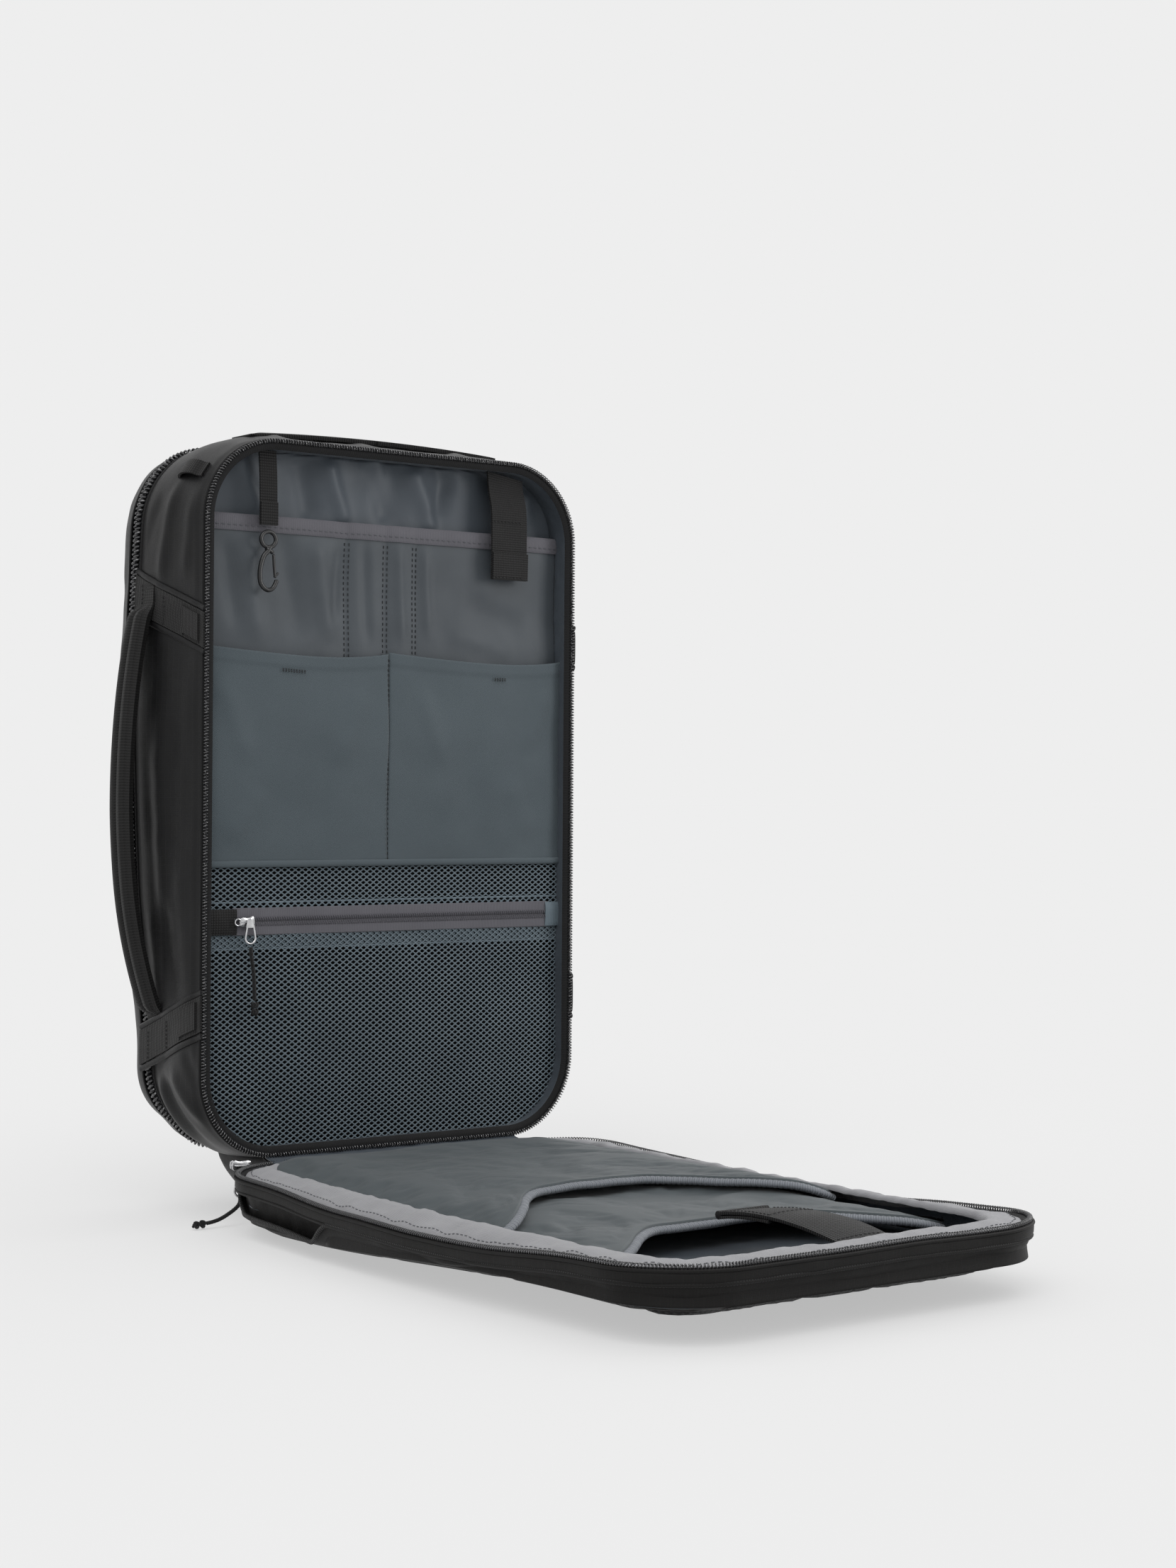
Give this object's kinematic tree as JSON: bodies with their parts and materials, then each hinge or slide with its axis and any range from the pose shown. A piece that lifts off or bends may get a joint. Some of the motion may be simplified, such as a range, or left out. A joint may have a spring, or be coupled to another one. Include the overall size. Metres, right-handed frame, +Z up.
{
  "type": "travel backpack",
  "caption": "Clamshell travel backpack standing open: organiser face with pockets, laptop lid folded flat in front, hinged main compartment, webbing handles and zip pulls.",
  "frame": {"origin": "the middle of the flat of the sagging base panel, on the surface that the bag stands on", "axes": "+Z up; -Y the way the open organiser faces and the lid folds out; +X to the right when looking along +Y"},
  "size_m": [0.3544, 0.6075, 0.5341],
  "materials": {
    "shell_black": "black coated ripstop nylon, low sheen",
    "webbing_black": "black woven webbing, matt",
    "zip_black": "black coil zip on woven tape",
    "lining_slate": "slate polyester lining with a satin sheen",
    "padded_slate": "padded slate lining",
    "stretch_teal": "stretch woven pocket cloth, matt",
    "mesh_teal": "open knitted mesh, dark teal",
    "tape_grey": "grey binding tape, fine rib",
    "facing_pale": "pale grey lining tape, matt",
    "steel": "satin nickel-plated metal",
    "plastic_black": "black moulded plastic",
    "cord_black": "black braided cord"
  },
  "bodies": {
    "shell": {"gusset": "shell_black", "compartment_lining": "lining_slate", "face_zip": "zip_black", "main_zip": "zip_black", "bottom_panel": "shell_black", "hinge_piping": "webbing_black", "organiser_wall": "lining_slate", "upper_pockets": "lining_slate", "upper_pocket_binding": "tape_grey", "pocket_divider_1": "lining_slate", "pocket_divider_2": "lining_slate", "pocket_divider_3": "lining_slate", "stretch_pocket_left": "stretch_teal", "stretch_pocket_right": "stretch_teal", "pocket_base_seam": "lining_slate", "mesh_band": "mesh_teal", "inner_zip_tape": "tape_grey", "inner_zip_tab_left": "webbing_black", "inner_zip_tab_right": "mesh_teal", "inner_zip_coil": "tape_grey", "mesh_pocket": "mesh_teal", "band_upper_left": "webbing_black", "band_lower_left": "webbing_black", "band_upper_right": "webbing_black", "band_lower_right": "webbing_black", "corner_loop_left": "webbing_black", "corner_loop_right": "webbing_black", "face_slider": "steel"},
    "lid": {"lid_tray": "shell_black", "lid_zip": "zip_black", "lid_facing": "facing_pale", "lid_lining": "lining_slate", "laptop_sleeve": "padded_slate", "laptop_sleeve_binding": "tape_grey", "tablet_sleeve": "padded_slate", "tablet_sleeve_binding": "tape_grey", "back_pad": "shell_black", "shoulder_strap_left": "shell_black", "shoulder_strap_right": "shell_black"},
    "main_cover": {"main_panel": "shell_black", "main_panel_zip": "zip_black", "front_pocket": "shell_black"},
    "left_handle": {"side_handle_left": "webbing_black"},
    "right_handle": {"side_handle_right": "webbing_black"},
    "haul_handle": {"top_handle": "webbing_black"},
    "leash": {"key_leash": "webbing_black"},
    "hook": {"snap_hook": "plastic_black"},
    "gate": {"snap_gate": "plastic_black"},
    "webbing_pull": {"pull_strap": "webbing_black"},
    "pocket_slider": {"inner_zip_slider": "steel"},
    "pocket_pull": {"inner_zip_pull": "steel", "inner_pull_cord": "cord_black", "inner_pull_knot": "cord_black"},
    "face_zip_pull": {"face_pull": "steel", "face_pull_cord": "cord_black", "face_pull_knot": "cord_black"},
    "retaining_strap": {"laptop_strap": "webbing_black"},
    "main_zip_slider": {"main_slider": "steel"},
    "main_zip_pull": {"main_slider_pull": "steel"}
  },
  "joints": [
    {"name": "lid_fold", "type": "hinge", "parent": "shell", "child": "lid", "pos_m": [0, -0.044, 0.04], "axis": [-1, 0, 0], "range_deg": [0, 90]},
    {"name": "main_panel_fold", "type": "hinge", "parent": "shell", "child": "main_cover", "pos_m": [0, 0.044, 0.04], "axis": [-1, 0, 0], "range_deg": [0, 90]},
    {"name": "left_handle_lift", "type": "slide", "parent": "shell", "child": "left_handle", "axis": [-1, 0, 0], "range_m": [0, 0.012]},
    {"name": "right_handle_lift", "type": "slide", "parent": "shell", "child": "right_handle", "axis": [1, 0, 0], "range_m": [0, 0.012]},
    {"name": "haul_handle_lift", "type": "slide", "parent": "shell", "child": "haul_handle", "axis": [0, 0, 1], "range_m": [0, 0.018]},
    {"name": "leash_swing", "type": "hinge", "parent": "shell", "child": "leash", "pos_m": [-0.1, -0.0345, 0.508], "axis": [1, 0, 0], "range_deg": [-70, 0]},
    {"name": "hook_swivel", "type": "hinge", "parent": "leash", "child": "hook", "pos_m": [-0.1, -0.0365, 0.458], "axis": [0, 0, 1], "range_deg": [-40, 40]},
    {"name": "hook_gate", "type": "hinge", "parent": "hook", "child": "gate", "pos_m": [-0.0966, -0.0365, 0.4439], "axis": [0, 1, 0], "range_deg": [0, 20]},
    {"name": "webbing_pull_swing", "type": "hinge", "parent": "shell", "child": "webbing_pull", "pos_m": [0.092, -0.035, 0.506], "axis": [1, 0, 0], "range_deg": [-90, 0]},
    {"name": "pocket_zip_slide", "type": "slide", "parent": "shell", "child": "pocket_slider", "axis": [1, 0, 0], "range_m": [0, 0.235]},
    {"name": "pocket_pull_swing", "type": "hinge", "parent": "pocket_slider", "child": "pocket_pull", "pos_m": [-0.113, -0.0388, 0.201], "axis": [1, 0, 0], "range_deg": [-80, 0]},
    {"name": "face_pull_swing", "type": "hinge", "parent": "shell", "child": "face_zip_pull", "pos_m": [-0.122, -0.044, 0.0356], "axis": [1, 0, 0], "range_deg": [0, 70]},
    {"name": "laptop_strap_flip", "type": "hinge", "parent": "lid", "child": "retaining_strap", "pos_m": [0.014, -0.512, 0.0376], "axis": [-1, 0, 0], "range_deg": [-120, 0]},
    {"name": "main_zip_slide", "type": "slide", "parent": "shell", "child": "main_zip_slider", "axis": [0, 0, 1], "range_m": [-0.19, 0]},
    {"name": "main_pull_swing", "type": "hinge", "parent": "main_zip_slider", "child": "main_zip_pull", "pos_m": [0.1554, 0.044, 0.342], "axis": [0, 1, 0], "range_deg": [-80, 0]}
  ]
}
